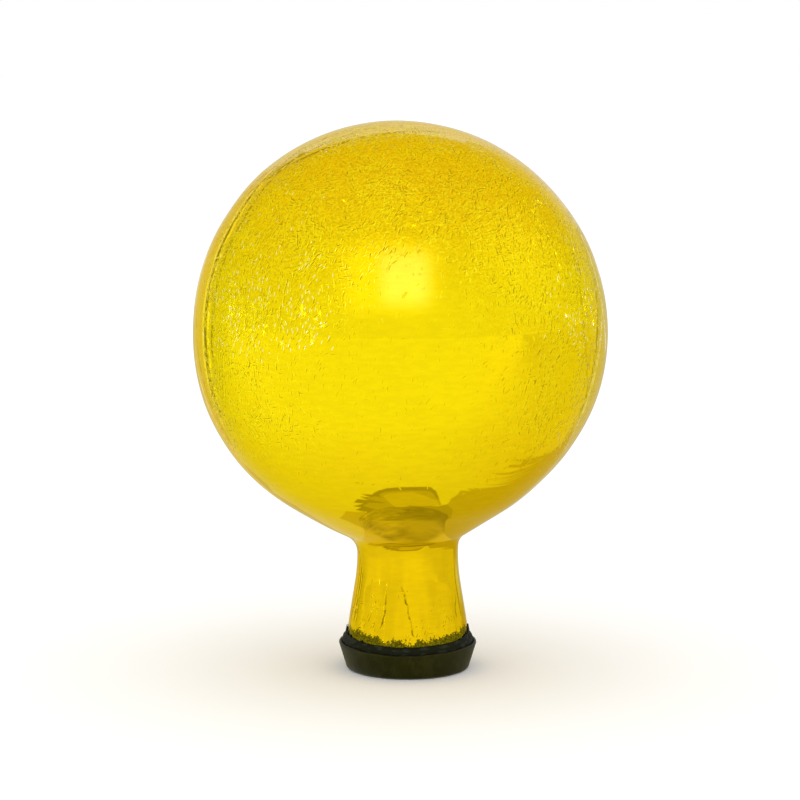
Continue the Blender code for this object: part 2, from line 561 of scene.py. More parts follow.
    def tint(self, pattern: Pattern) -> Node:
        """Colour the mirror, deeper where the glass is thicker.

        Args:
            pattern: The material's pattern.

        Returns:
            The mirror's colour away from the cracks.
        """
        node, place, height = pattern.node, pattern.place, pattern.height
        cloud = node("TexNoise", place, PER_MM / 45.0, 1.0)
        cloudy = node("Math.MULTIPLY_ADD", cloud, 0.04, height)
        low = node("Mix.RGBA", node(EASE, height, *self.low_heights), self.neck_tint, self.low_tint)
        middle = node("Mix.RGBA", node(EASE, cloudy, *self.middle_heights), low, self.middle_tint)
        tint = node("Mix.RGBA", node(EASE, cloudy, *self.pole_heights), middle, self.pole_tint)
        mottle = node("TexNoise", pattern.stretched(0.5, 0.5, 1.6), PER_MM / 4.0, 3.0)
        shade = node(EASE, mottle, 0.3, 0.7, 0.97, 1.03)
        drawn = node("TexNoise", pattern.stretched(1.0, 1.0, 0.12), PER_MM / 9.0, 2.0)
        drawn = node(EASE, drawn, 0.35, 0.65, 0.93, 1.04)
        drawn = node("Mix", node(EASE, height, 0.060, 0.090, 1.0, 0.0), 1.0, drawn)
        tint = node("VectorMath.SCALE", tint, node("Math.MULTIPLY", shade, drawn))
        right = node(EASE, pattern.across, *self.warm_across)
        warm = node("Math.MULTIPLY", right, node(EASE, height, *self.warm_heights, 1.0, 0.0))
        return node("Mix.RGBA", warm, tint, node("VectorMath.MULTIPLY", tint, self.warmth))

    def silvered(self, pattern: Pattern) -> Node:
        """Work out where the silver reaches, down to its ragged end near the lip.

        Args:
            pattern: The material's pattern.

        Returns:
            A value of 1 on silver and 0 on bare glass.
        """
        node = pattern.node
        rag = node("TexNoise", pattern.stretched(1.0, 1.0, 0.4), PER_MM / 4.0, 2.0)
        fleck = node("TexNoise", pattern.place, PER_MM / 0.9, 3.0)
        aside = node("Math.ABSOLUTE", pattern.across)
        side = node(EASE, aside, *self.side_across, 0.0, self.side_drop)
        edge = node("Math.MULTIPLY_ADD", rag, self.rag, pattern.height)
        edge = node("Math.MULTIPLY_ADD", fleck, self.rag, edge)
        edge = node("Math.SUBTRACT", edge, side)
        line = self.bare_top + self.rag
        return node(EASE, edge, line, line + self.silver_edge)

    def crackled(self, pattern: Pattern) -> tuple[Node, Node]:
        """Work out how much of the ball is crackled, away from its smooth places, and of the whole.

        Args:
            pattern: The material's pattern.

        Returns:
            The share on the ball alone, and on the ball and the neck, from 0 to 1.
        """
        node, place, height = pattern.node, pattern.place, pattern.height
        on_ball = node(EASE, height, *self.ball_heights)
        smooth = node("VectorMath.DISTANCE", place, self.smooth_spot)
        clear = node("VectorMath.DISTANCE", place, self.clear_spot)
        for value, span, start, end in (
            (smooth, self.smooth_reach, 0.15, 1.0),
            (clear, self.clear_reach, 0.1, 1.0),
            (pattern.across, self.right_edge, 1.0, 0.4),
            (pattern.across, self.left_edge, 0.15, 1.0),
        ):
            on_ball = node("Math.MULTIPLY", on_ball, node(EASE, value, *span, start, end))
        patch = node(EASE, node("TexNoise", place, PER_MM / 16.0, 2.0), 0.48, 0.6)
        on_neck = node("Math.MULTIPLY", patch, node(EASE, height, *self.neck_heights, 0.8, 0.0))
        return on_ball, node("Math.MAXIMUM", on_ball, on_neck)

    def build(self) -> bpy.types.Material:
        """Build the material.

        Returns:
            The material.
        """
        material, pattern = new_material("silvered crackle glass")
        node, place, height = pattern.node, pattern.place, pattern.height
        warped = pattern.warped(place, 12.0, 0.5)
        on_ball, crackled = self.crackled(pattern)

        grainy = node("Math.MULTIPLY", on_ball, node(EASE, height, 0.19, 0.27, 0.35, 1.0))
        grain = node(EASE, node("TexNoise", place, PER_MM / 1.3, 2.0), 0.32, 0.68, 0.84, 1.13)
        tint = node("VectorMath.SCALE", self.tint(pattern), node("Mix", grainy, 1.0, grain))

        long_cracks = self.neck_cracks(pattern)
        relief = node("Math.MULTIPLY", long_cracks, -self.crack_depth)
        colour = node("Mix.RGBA", node("Math.MULTIPLY", long_cracks, 0.9), tint, self.deep_crack)

        gathered = self.gathered(pattern)
        strewn = node(EASE, node("TexNoise", place, PER_MM / 17.0, 2.0), 0.36, 0.62, 0.22, 0.78)
        busy = node("Math.MULTIPLY", node("Math.MULTIPLY_ADD", gathered, 0.35, strewn), crackled)
        seen = node(EASE, crackled, 0.0, 0.8, 0.3, 1.0)
        darkest = node("Math.MULTIPLY", seen, node(EASE, gathered, 0.0, 1.0, 0.62, 0.95))
        # Painted glints: the pale strokes, stronger higher up.
        glint_strength = node("Math.MULTIPLY", seen, node(EASE, height, 0.060, 0.11, 0.15, 0.8))
        for dash in DASHES:
            dark, pale = self.dashes(pattern, warped, dash, busy)
            deep = node(EASE, height, 0.08, 0.13, 0.2 * dash.deep_mm * MM, dash.deep_mm * MM)
            relief = node("Math.MULTIPLY_ADD", node("Math.SUBTRACT", pale, dark), deep, relief)
            colour = node("Mix.RGBA", node("Math.MULTIPLY", pale, glint_strength), colour, self.crack_glint)
            colour = node("Mix.RGBA", node("Math.MULTIPLY", dark, darkest), colour, self.dark_crack)
        # Painted glints: white strokes in bands at the ball's sides.
        white = self.dashes(pattern, warped, WHITE_GLINT_DASHES, self.white_glint_share(pattern))[1]
        colour = node("Mix.RGBA", white, colour, self.white_glint)

        specks = node(EASE, node("TexNoise", place, PER_MM / 1.0, 3.0), 0.36, 0.66)
        bare = node("Mix.RGBA", specks, self.bare, self.thin_silver)
        cords = node("TexNoise", pattern.stretched(0.35, 0.35, 2.2), PER_MM / 9.0, 3.0)
        pattern.surface(
            node("Math.MULTIPLY_ADD", cords, self.cord_depth, relief),
            Base_Color=node("Mix.RGBA", self.silvered(pattern), bare, colour),
            Roughness=self.roughness,
            Metallic=1.0,
            Specular_Tint=self.edge_tint,
            Coat_Weight=self.coat,
        )
        return material


@dataclass(frozen=True)
class MouldedRubber:
    """Black moulded rubber: nearly black and dull. Its olive cast and its yellow-tinted sheen are painted
    light from the yellow glass.
    """

    # Near-black; the olive cast is painted light from the yellow glass.
    colour: Colour = linear("#171807")
    worn: Colour = linear("#22230D")
    # Painted reflection: the sheen is tinted yellow, for the glass's light on the rubber.
    sheen_tint: Colour = linear("#FFFD6C")
    roughness: float = 0.5
    shine: float = 0.2
    grain_depth: float = 0.06 * MM
    streak_depth: float = 0.12 * MM

    def build(self) -> bpy.types.Material:
        """Build the material.

        Returns:
            The material.
        """
        material, pattern = new_material("moulded black rubber")
        node, place = pattern.node, pattern.place
        grain = node("TexNoise", place, PER_MM / 0.8, 3.0)
        streaks = node("TexNoise", pattern.stretched(1.0, 1.0, 0.12), PER_MM / 1.6, 2.0)
        cloud = node("TexNoise", place, PER_MM / 7.0, 3.0)
        rubbed = node("Math.MULTIPLY_ADD", streaks, 0.6, cloud)
        relief = node("Math.MULTIPLY", grain, self.grain_depth)
        pattern.surface(
            node("Math.MULTIPLY_ADD", streaks, self.streak_depth, relief),
            Base_Color=node("Mix.RGBA", node(EASE, rubbed, 0.72, 1.0), self.colour, self.worn),
            Roughness=self.roughness,
            Specular_IOR_Level=self.shine,
            Specular_Tint=self.sheen_tint,
        )
        return material


@dataclass(frozen=True)
class CuredSealant:
    """Black silicone sealant: smeared by hand, with paler dusty patches and hardly any sheen."""

    colour: Colour = linear("#1A1C13")
    dusty: Colour = linear("#2B2E26")
    sheen_tint: Colour = linear("#FFFD61")
    roughness: float = 0.6
    shine: float = 0.05
    grain_depth: float = 0.5 * MM

    def build(self) -> bpy.types.Material:
        """Build the material.

        Returns:
            The material.
        """
        material, pattern = new_material("cured black sealant")
        node = pattern.node
        smears = node("TexNoise", pattern.stretched(0.35, 0.35, 1.3), PER_MM / 2.2, 3.0)
        grain = node("TexNoise", pattern.place, PER_MM / 2.0, 3.0)
        pattern.surface(
            node("Math.MULTIPLY", grain, self.grain_depth),
            Base_Color=node("Mix.RGBA", node(EASE, smears, 0.50, 0.66), self.colour, self.dusty),
            Roughness=self.roughness,
            Specular_IOR_Level=self.shine,
            Specular_Tint=self.sheen_tint,
        )
        return material


# How far the hand-blown ball stands out from a true round, seen from the front: degrees from the
# left upwards, and millimetres.
LOBES_MM = (
    (-90, 0.0), (-72, 1.1), (-59, 0.6), (-42, 0.9), (-28, 0.6), (6, -1.1), (32, -0.6), (50, 0.4),
    (84, 0.4), (104, -0.1), (140, -0.6), (158, 0.0), (198, 1.1), (214, 0.5), (228, -0.5), (244, 0.8),
    (256, 0.4), (270, 0.0),
)


@dataclass
class Globe:
    """The blown ball and neck: one wall of glass, hollow, open at the lip."""

    wall: float = 3.0 * MM
    offset: float = 5.3 * MM
    shoulder_slope: float = math.radians(31.3)
    shoulder_fillet: float = 12.2 * MM
    waist_radius: float = 31.2 * MM
    waist_drop: float = 4.9 * MM
    waist_ease: float = 0.5 * MM
    flare_blend: float = 18.2 * MM
    mouth_radius: float = 37.95 * MM
    band_top: float = 21.2 * MM
    fullness: float = 1.1 * MM
    full_height: float = 108 * MM
    full_reach: float = 34 * MM
    # The glass's long and short waves: how long, and how high.
    long_wave: Point = (60 * MM, 0.12 * MM)
    short_wave: Point = (17 * MM, 0.02 * MM)
    wave_rise: float = 30 * MM
    uneven_rise: float = 18 * MM
    steps: int = 288
    lip_height: float = field(init=False)
    ball_radius: float = field(init=False)
    ball_centre: float = field(init=False)

    def __post_init__(self) -> None:
        """Take the ball's size and place from the frame, and work out the shoulder."""
        low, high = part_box("globe")
        self.lip_height = low.z
        self.ball_radius = (high.x - low.x) / 2
        self.ball_centre = high.z - self.ball_radius
        slope, fillet = self.shoulder_slope, self.shoulder_fillet
        self.joint_radius = self.ball_radius * math.sin(slope)
        self.joint_height = self.ball_centre - self.ball_radius * math.cos(slope)
        self.end_angle = math.pi / 2 - math.atan2(2 * self.waist_ease, self.waist_drop)
        end_radius = self.waist_radius + self.waist_ease
        self.fillet_radius = end_radius + fillet * math.sin(self.end_angle)
        drop = (self.joint_radius - self.fillet_radius + fillet * math.sin(slope)) * math.tan(slope)
        self.fillet_height = self.joint_height - drop - fillet * math.cos(slope)
        end_height = self.fillet_height + fillet * math.cos(self.end_angle)
        self.waist_height = end_height - self.waist_drop
        self.flare_drop = self.waist_height - self.band_top
        run = self.flare_drop - self.flare_blend / 2
        self.flare_slope = (self.mouth_radius - self.waist_radius) / run

    def neck_radius(self, height: float) -> float:
        """Work out the neck's outer radius.

        Args:
            height: Height above the floor.

        Returns:
            The radius there.
        """
        drop = self.waist_height - height
        if drop < 0:
            return self.waist_radius + self.waist_ease * (drop / self.waist_drop) ** 2
        if drop < self.flare_blend:
            return self.waist_radius + self.flare_slope * drop * drop / (2 * self.flare_blend)
        drop = min(drop, self.flare_drop)
        return self.waist_radius + self.flare_slope * (drop - self.flare_blend / 2)

    def outside(self, neck_rings: int, fillet_rings: int, ball_rings: int) -> list[Point]:
        """Outline of the glass from the lip's round edge up to the pole.

        Args:
            neck_rings: Number of rings on the neck.
            fillet_rings: Number of rings on the fillet.
            ball_rings: Number of rings on the ball.

        Returns:
            Points (r, z), upwards.
        """
        foot = self.lip_height + self.wall / 2
        rise = self.waist_height + self.waist_drop - foot
        neck = [foot + rise * i / neck_rings for i in range(neck_rings)]
        outline = [(self.neck_radius(height), height) for height in neck]
        quarter = math.pi / 2
        centre = (self.fillet_radius, self.fillet_height)
        start, end = quarter + self.end_angle, quarter + self.shoulder_slope
        outline += arc(centre, self.shoulder_fillet, start, end, fillet_rings)
        cone_foot, cone_top = Vector(outline[-1]), Vector((self.joint_radius, self.joint_height))
        cone_steps = max(fillet_rings // 2, 2)
        outline += [tuple(cone_foot.lerp(cone_top, i / cone_steps)) for i in range(1, cone_steps)]
        start = self.shoulder_slope - quarter
        outline += arc((0, self.ball_centre), self.ball_radius, start, quarter, ball_rings)
        outline[-1] = (0, self.ball_centre + self.ball_radius)
        return outline

    def inside(self, outside: list[Point]) -> list[Point]:
        """Move the outside's outline square to itself by the wall's thickness.

        Args:
            outside: Points (r, z), upwards.

        Returns:
            The inner wall's points, downwards.
        """
        moved = []
        for i, point in enumerate(outside):
            before = Vector(outside[max(i - 1, 0)])
            after = Vector(outside[min(i + 1, len(outside) - 1)])
            along = (after - before).normalized()
            moved.append((point[0] - along.y * self.wall, point[1] + along.x * self.wall))
        moved[0] = (outside[0][0] - self.wall, outside[0][1])
        moved[-1] = (0, outside[-1][1] - self.wall)
        return moved[::-1]

    def set_off_axis(self, shape: Shape) -> None:
        """Lean the glass sideways over the shoulder, so that the ball sits off the neck's axis."""
        rise = self.joint_height - self.waist_height
        for vert in shape.verts:
            vert.co.x -= self.offset * smoothstep((vert.co.z - self.waist_height) / rise)

    def waver(self, shape: Shape) -> None:
        """Give the blown glass its waviness, its fuller right shoulder and its uneven outline.

        Args:
            shape: The globe's shape, to bend.
        """
        centre = Vector((-self.offset, 0, self.ball_centre))
        for vert in shape.verts:
            out = (vert.co - centre).normalized()
            fade = smoothstep((vert.co.z - self.joint_height) / self.wave_rise)
            (long_size, long_high), (short_size, short_high) = self.long_wave, self.short_wave
            wave = long_high * noise.noise(vert.co / long_size)
            wave += short_high * noise.noise(vert.co / short_size + Vector((7, 3, 5)))
            full = smoothstep(1 - abs(vert.co.z - self.full_height) / self.full_reach)
            full *= max(out.x / max(math.hypot(out.x, out.y), 1e-6), 0.0) ** 4
            above_waist = smoothstep((vert.co.z - self.waist_height) / self.uneven_rise)
            at_rim = math.hypot(out.x, out.z) ** 6 * above_waist
            vert.co += out * fade * wave
            vert.co += out * (full * self.fullness + at_rim * self.unevenness(out))

    def unevenness(self, out: Vector) -> float:
        """Work out how far the hand-blown ball stands out from a true round.

        Args:
            out: A direction from the ball's centre.

        Returns:
            The distance, which is negative where it stands in.
        """
        turn = math.degrees(math.atan2(out.z, -out.x))
        turn = turn + 360 if turn < -90 else turn
        for (start, low), (end, high) in zip(LOBES_MM, LOBES_MM[1:]):
            if turn <= end:
                return (low + (high - low) * smoothstep((turn - start) / (end - start))) * MM
        return 0.0

    def build(self, glass: bpy.types.Material) -> None:
        """Build the globe.

        Args:
            glass: Its finish.
        """
        half = self.wall / 2
        lip = arc((self.mouth_radius - half, self.lip_height + half), half, -math.pi, 0, 8)
        outline = self.inside(self.outside(12, 4, 24)) + lip[1:-1] + self.outside(60, 14, 200)
        shape = turned(outline, self.steps, closed=False)
        self.set_off_axis(shape)
        self.waver(shape)
        add_piece("crackle_globe", shape, glass, Slot.GLASS, "globe")


@dataclass
class Stopper:
    """The rubber stopper: foot, flared wall, groove for the glass lip, and plug."""

    globe: Globe
    floor: float = 8.0 * MM
    rim_top: float = 17.0 * MM
    wall: float = 2.0 * MM
    lean: float = math.radians(16.9)
    foot_edge: float = 2.5 * MM
    plug_edge: float = 3.5 * MM
    gap: float = 0.3 * MM
    rim_sag: float = 1.3 * MM
    sag_middle: float = -0.14
    sag_reach: float = 0.75
    rim_waver: float = 0.35 * MM
    steps: int = 160

    def wall_radius(self, height: float) -> float:
        """Inner radius of the flared wall at a height above the floor."""
        return self.globe.mouth_radius + self.gap + (height - self.floor) * math.tan(self.lean)

    def sag(self, shape: Shape) -> None:
        """Let the soft rim, and what lies against it, hang lower at the front and waver all round.

        Args:
            shape: The shape to bend.
        """
        for vert in shape.verts:
            if math.hypot(vert.co.x, vert.co.y) < self.globe.mouth_radius:
                continue
            turn = (math.atan2(vert.co.x, -vert.co.y) - self.sag_middle) / self.sag_reach
            drop = self.rim_sag * math.exp(-(turn**2))
            drop += self.rim_waver * noise.noise(Vector((vert.co.x, vert.co.y, 0)) / (14 * MM))
            vert.co.z -= drop * smoothstep((vert.co.z - 10 * MM) / (6 * MM))

    def build(self, rubber: bpy.types.Material) -> None:
        """Build the stopper.

        Args:
            rubber: Its finish.
        """
        globe, quarter = self.globe, math.pi / 2
        foot_line = self.wall_radius(self.foot_edge) + self.wall
        corner = (foot_line - self.foot_edge / math.cos(self.lean), self.foot_edge)
        outline = [(0.0, 0.0)]
        outline += arc(corner, self.foot_edge, -quarter, -self.lean, 8)
        half = self.wall * math.cos(self.lean) / 2
        rim = self.rim_top - half
        middle = (self.wall_radius(rim) + self.wall / 2, rim)
        outline += arc(middle, half, -self.lean, math.pi - self.lean, 10)
        glass = globe.wall * math.hypot(1, globe.flare_slope)
        bore = globe.mouth_radius - glass - self.gap
        outline += [(self.wall_radius(self.floor), self.floor), (bore, self.floor)]
        plug_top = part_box("stopper")[1].z
        for radius, height in arc((0, plug_top - self.plug_edge), self.plug_edge, 0, quarter, 6):
            side = globe.neck_radius(height) - glass - self.gap
            outline.append((side - self.plug_edge + radius, height))
        outline.append((0, plug_top))
        shape = turned(outline, self.steps, closed=False)
        self.sag(shape)
        add_piece("rubber_stopper", shape, rubber, Slot.RUBBER, "stopper", 40.0)


@dataclass
class SealingBead:
    """The ring of black sealant between the neck and the stopper's flared wall, smeared by hand."""

    stopper: Stopper
    foot_width: float = 0.9 * MM
    lap: float = 0.6 * MM
    lip: float = 1.0 * MM
    lump: float = 0.5 * MM
    smear: float = 5.5 * MM
    smear_thickness: float = 0.45 * MM
    steps: int = 360

    def climb(self, azimuth: float) -> float:
        """Work out how far the sealant was smeared up the glass.

        Args:
            azimuth: Angle from the front to the right, in radians.

        Returns:
            The height of the smear there.
        """
        way = Vector((math.sin(azimuth), math.cos(azimuth), 0.4))
        smeared = 0.9 * noise.noise(way * 3.5) + 0.5 * noise.noise(way * 15) - 0.12
        at_side = abs(way.x) ** 14 * (0.75 + noise.noise(way * 24))
        return self.smear * min(max(smeared, at_side, 0.02), 1.0)

    def smear_edge(self, shape: Shape, glass: float, top: float) -> None:
        """Draw the thin lip up the glass in ragged smears, and leave lumps on the crest.

        Args:
            shape: The bead's turned shape.
            glass: Its inner radius, at the glass.
            top: Height of the crest.
        """
        for vert in shape.verts:
            radius = math.hypot(vert.co.x, vert.co.y)
            if vert.co.z > top + self.lip / 2:
                height = top + 0.1 * MM + self.climb(math.atan2(vert.co.x, -vert.co.y))
                thick = self.smear_thickness if radius > glass + 0.2 * MM else 0.0
                wanted = self.stopper.globe.neck_radius(height) + self.stopper.gap + thick
                vert.co = Vector((vert.co.x / radius * wanted, vert.co.y / radius * wanted, height))
            elif vert.co.z > top - 5 * MM and radius > glass + 0.3 * MM:
                pressed = abs(noise.noise(vert.co / (4 * MM) + Vector((7, 1, 3))))
                vert.co.xy *= 1 - self.lump * pressed / radius
                vert.co.z += self.lump * noise.noise(vert.co / (5 * MM))

    def build(self, sealant: bpy.types.Material) -> None:
        """Build the bead.

        Args:
            sealant: Its finish.
        """
        low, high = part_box("sealing_bead")
        stopper = self.stopper
        rim = stopper.wall_radius(stopper.rim_top) - stopper.gap
        glass = stopper.globe.mouth_radius + stopper.gap
        width, rise = rim - glass - self.lap, high.z - stopper.rim_top
        angles = [math.pi / 2 * i / 8 for i in range(9)]
        outline = [
            (glass, low.z),
            (glass + self.foot_width, low.z),
            *((rim - width * (1 - math.cos(a)), stopper.rim_top + rise * math.sin(a)) for a in angles),
            (glass + self.smear_thickness, high.z + self.lip),
            (glass, high.z + self.lip),
            (glass, high.z),
        ]
        shape = turned(outline, self.steps, closed=True)
        self.smear_edge(shape, glass, high.z)
        stopper.sag(shape)
        add_piece("sealant_bead", shape, sealant, Slot.SEALANT, "sealing_bead")


@dataclass(frozen=True)
class Card:
    """A card that stands round the ball and that it mirrors.

    Attributes:
        name: What it is.
        spot: Azimuth from the front to the right and elevation, in degrees, seen from the ball.
        away: Distance from the ball's centre.
        size: Width and height.
        light: Brightness, where the backdrop's is 1.
        soft: Share of its half width over which it fades out at the edges.
        coolness: How much stronger its blue is than its red.
    """

    name: str
    spot: Point
    away: float
    size: Point
    light: float
    soft: float
    coolness: float = 1.0


@dataclass(frozen=True)
class FloorCard:
    """A piece of card that lies on the floor and that the ball mirrors.

    Attributes:
        name: What it is.
        height_mm: Height above the floor.
        light: Brightness, where the backdrop's is 1.
        outline_mm: Corners of its outline, seen from above.
    """

    name: str
    height_mm: float
    light: float
    outline_mm: tuple[Point, ...]


FLOOR_CARDS = (
    FloorCard("left_sweep", 0.4, 0.66, (
        (-30, 190), (-83, 170), (-120, 150), (-165, 170), (-150, 215), (-200, 215), (-235, 330),
        (-300, 420), (-420, 760), (-900, 1600), (-2600, 2600), (-900, 4200), (-30, 4200),
    )),
    FloorCard("right_sweep", 0.5, 0.60, (
        (52, -31), (57, -37), (59, -43), (65, -46), (70, -49), (76, -56), (81, -56), (85, -55),
        (94, -48), (89, -44), (94, -36), (99, -36), (105, -38), (110, -42), (120, -49), (130, -59),
        (126, -44), (126, -36), (121, -33), (116, -20), (119, -13), (126, -15), (134, -13),
        (143, -19), (151, -22), (162, -28), (177, -39), (168, -27), (161, -18), (160, -8),
        (154, -5), (150, 13), (159, 14), (168, 11), (175, 10), (181, 6), (186, 6), (176, 14),
        (165, 19), (153, 22), (154, 42), (165, 48), (176, 55), (182, 70), (188, 88), (198, 88),
        (210, 96), (216, 109), (231, 116), (243, 132), (250, 162), (263, 185), (281, 231),
        (383, 263), (508, 411), (722, 604), (1205, 1217), (3200, 2600), (2600, 4200), (20, 4200),
        (20, 60), (30, -20),
    )),
    FloorCard("left_shade", 0.6, 0.68, (
        (-66, -4), (-54, -13), (-44, -22), (-38, -14), (-36, 8), (-40, 40), (-70, 40),
    )),
    FloorCard("plinth_edge", 0.7, 0.43, (
        (-37, -79), (-54, -69), (-39, -73), (-56, -61), (-41, -65), (-57, -53), (-42, -57),
        (-60, -41), (-47, -45), (-60, -29), (-49, -32), (-55, -19), (-41, -22), (-41, -15),
        (-24, -33), (-14, -40), (-7, -41), (1, -44), (7, -49), (32, -40), (44, -36), (45, -49),
        (45, -61), (44, -75), (41, -81), (39, -87), (35, -90), (24, -93), (10, -95), (-4, -96),
        (-21, -93), (-31, -86),
    )),
    FloorCard("plinth_rim", 0.8, 0.58, (
        (-35, -70), (-30, -77), (-23, -84), (-11, -87), (9, -87), (28, -82), (36, -78), (40, -69),
        (42, -57), (45, -49), (46, -35), (32, -39), (7, -48), (1, -43), (-7, -40), (-12, -46),
        (-19, -55), (-25, -68), (-29, -71), (-25, -56), (-21, -40), (-30, -34), (-40, -24),
        (-48, -38), (-41, -50), (-45, -60),
    )),
    FloorCard("plinth_top", 0.9, 0.71, (
        (-25, -73), (-17, -81), (-4, -83), (12, -82), (25, -72), (34, -61), (42, -50), (43, -37),
        (32, -40), (7, -47), (0, -43), (-6, -41), (-13, -50), (-20, -64),
    )),
    FloorCard("foot_shade", 1.1, 0.50, (
        (-16, -39), (-7, -40), (1, -43), (7, -48), (32, -39), (40, -34), (52, -31), (56, -10),
        (50, 30), (-30, 30),
    )),
)

CARDS = (
    Card("key_softbox", (-6, 33), 1.5, (1.85, 1.45), 1.20, 0.65),
    Card("key_core", (3.5, 32), 1.45, (0.88, 1.00), 1.15, 0.70, 17.0),
    Card("right_fill", (80, 30), 1.8, (2.4, 2.2), 1.0, 0.9),
)


@dataclass(frozen=True)
class LampBank:
    """A bank of small lamps that stands round the ball and that its cracks catch.

    Attributes:
        name: What it is.
        azimuth: First and last azimuth, in degrees from the front to the right.
        elevation: First and last elevation in degrees.
        count: Number of lamps.
        size_deg: Width and height of a lamp, in degrees.
        light: Brightness, where the backdrop's is 1.
        coolness: How much stronger its blue is than its red.
    """

    name: str
    azimuth: Point
    elevation: Point
    count: int
    size_deg: Point
    light: float
    coolness: float


BANKS = (
    LampBank("left_lamps", (-115, -40), (-4, 14), 26, (0.2, 1.9), 6.5, 7.0),
    LampBank("right_lamps", (98, 140), (-2, 36), 24, (0.2, 1.9), 6.5, 7.0),
    LampBank("top_lamps", (-80, 80), (60, 86), 18, (1.6, 0.2), 5.0, 1.0),
)


@dataclass(frozen=True)
class Hoop:
    """Part of a hoop that stands behind the ball, so that it mirrors as a line along the edge.

    Attributes:
        name: What it is.
        inset: How far inside the ball's edge its sides show, as shares of the ball's radius.
        span_deg: Where it starts and ends, in degrees from the left upwards.
        light: Brightness, where the backdrop's is 1.
        coolness: How much stronger its blue is than its red.
        bow: How much nearer to the ball's edge its ends show, as a share of the inset.
    """

    name: str
    inset: Point
    span_deg: Point
    light: float
    coolness: float = 1.0
    bow: float = 0.55


HOOPS = (
    Hoop("left_gold", (0.012, 0.056), (-56, 50), 0.78, 0.5),
    Hoop("left_line_1", (0.056, 0.066), (-58, 60), 1.00, 1.5),
    Hoop("left_line_2", (0.066, 0.080), (-60, 62), 0.32),
    Hoop("left_line_3", (0.080, 0.092), (-58, 56), 1.15),
    Hoop("left_line_4", (0.104, 0.114), (-46, 62), 0.40),
    Hoop("left_line_5", (0.036, 0.042), (-64, 6), 0.45),
    Hoop("left_line_6", (0.024, 0.029), (-66, -8), 0.95, 2.0),
    Hoop("top_beige_1", (0.008, 0.026), (38, 130), 0.80, 0.9, 0.3),
    Hoop("top_beige_2", (0.026, 0.042), (44, 124), 0.82, 2.0, 0.3),
    Hoop("top_beige_3", (0.042, 0.058), (52, 116), 0.84, 4.0, 0.25),
    Hoop("top_beige_4", (0.058, 0.078), (62, 110), 0.86, 8.0, 0.2),
    Hoop("top_line_1", (0.030, 0.035), (38, 84), 0.40),
    Hoop("top_line_2", (0.056, 0.062), (36, 88), 0.40),
    Hoop("top_line_3", (0.080, 0.089), (42, 104), 0.45),
    Hoop("top_line_4", (0.044, 0.049), (52, 100), 0.95, 2.6),
    Hoop("upper_right_pale", (0.008, 0.058), (108, 150), 0.80, 1.4, 0.3),
    Hoop("right_gold", (0.010, 0.064), (144, 240), 0.64, 1.0),
    Hoop("right_line_1", (0.027, 0.034), (146, 186), 0.95, 2.6),
    Hoop("right_line_2", (0.050, 0.062), (172, 216), 0.88, 5.0),
    Hoop("right_line_3", (0.066, 0.075), (162, 220), 0.42),
    Hoop("right_line_4", (0.128, 0.140), (150, 200), 0.60),
)


@dataclass
class Glow:
    """The finish of a thing that shows only in reflections, as flags and light tubes do."""

    name: str
    coolness: float = 1.0

    def __post_init__(self) -> None:
        """Start its material."""
        self.material, self.pattern = new_material(self.name)
        self.material.cycles.emission_sampling = "NONE"

    def hang(self, shape: Shape, light: Source, share: Optional[Node] = None) -> bpy.types.Object:
        """Put a shape with this finish into the studio.

        Args:
            shape: The shape, which is freed.
            light: Its brightness, where the backdrop's is 1.
            share: How much of it is there, from 0 to 1, if not the whole.

        Returns:
            Its object.
        """
        node = self.pattern.node
        warm, cool = min(1 / self.coolness, 1.0), min(self.coolness, 1.0)
        strength = light if isinstance(light, Node) else light * max(self.coolness, 1.0)
        glow = node("Emission", (warm, warm**0.93 * cool**0.18, cool, 1), strength)
        if share is not None:
            glow = node("MixShader", share, node("BsdfTransparent"), glow)
        node("OutputMaterial", glow)
        board = add_object(self.name, shape, self.material)
        board.visible_camera = False
        board.visible_diffuse = False
        board.visible_shadow = False
        board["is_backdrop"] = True
        return board


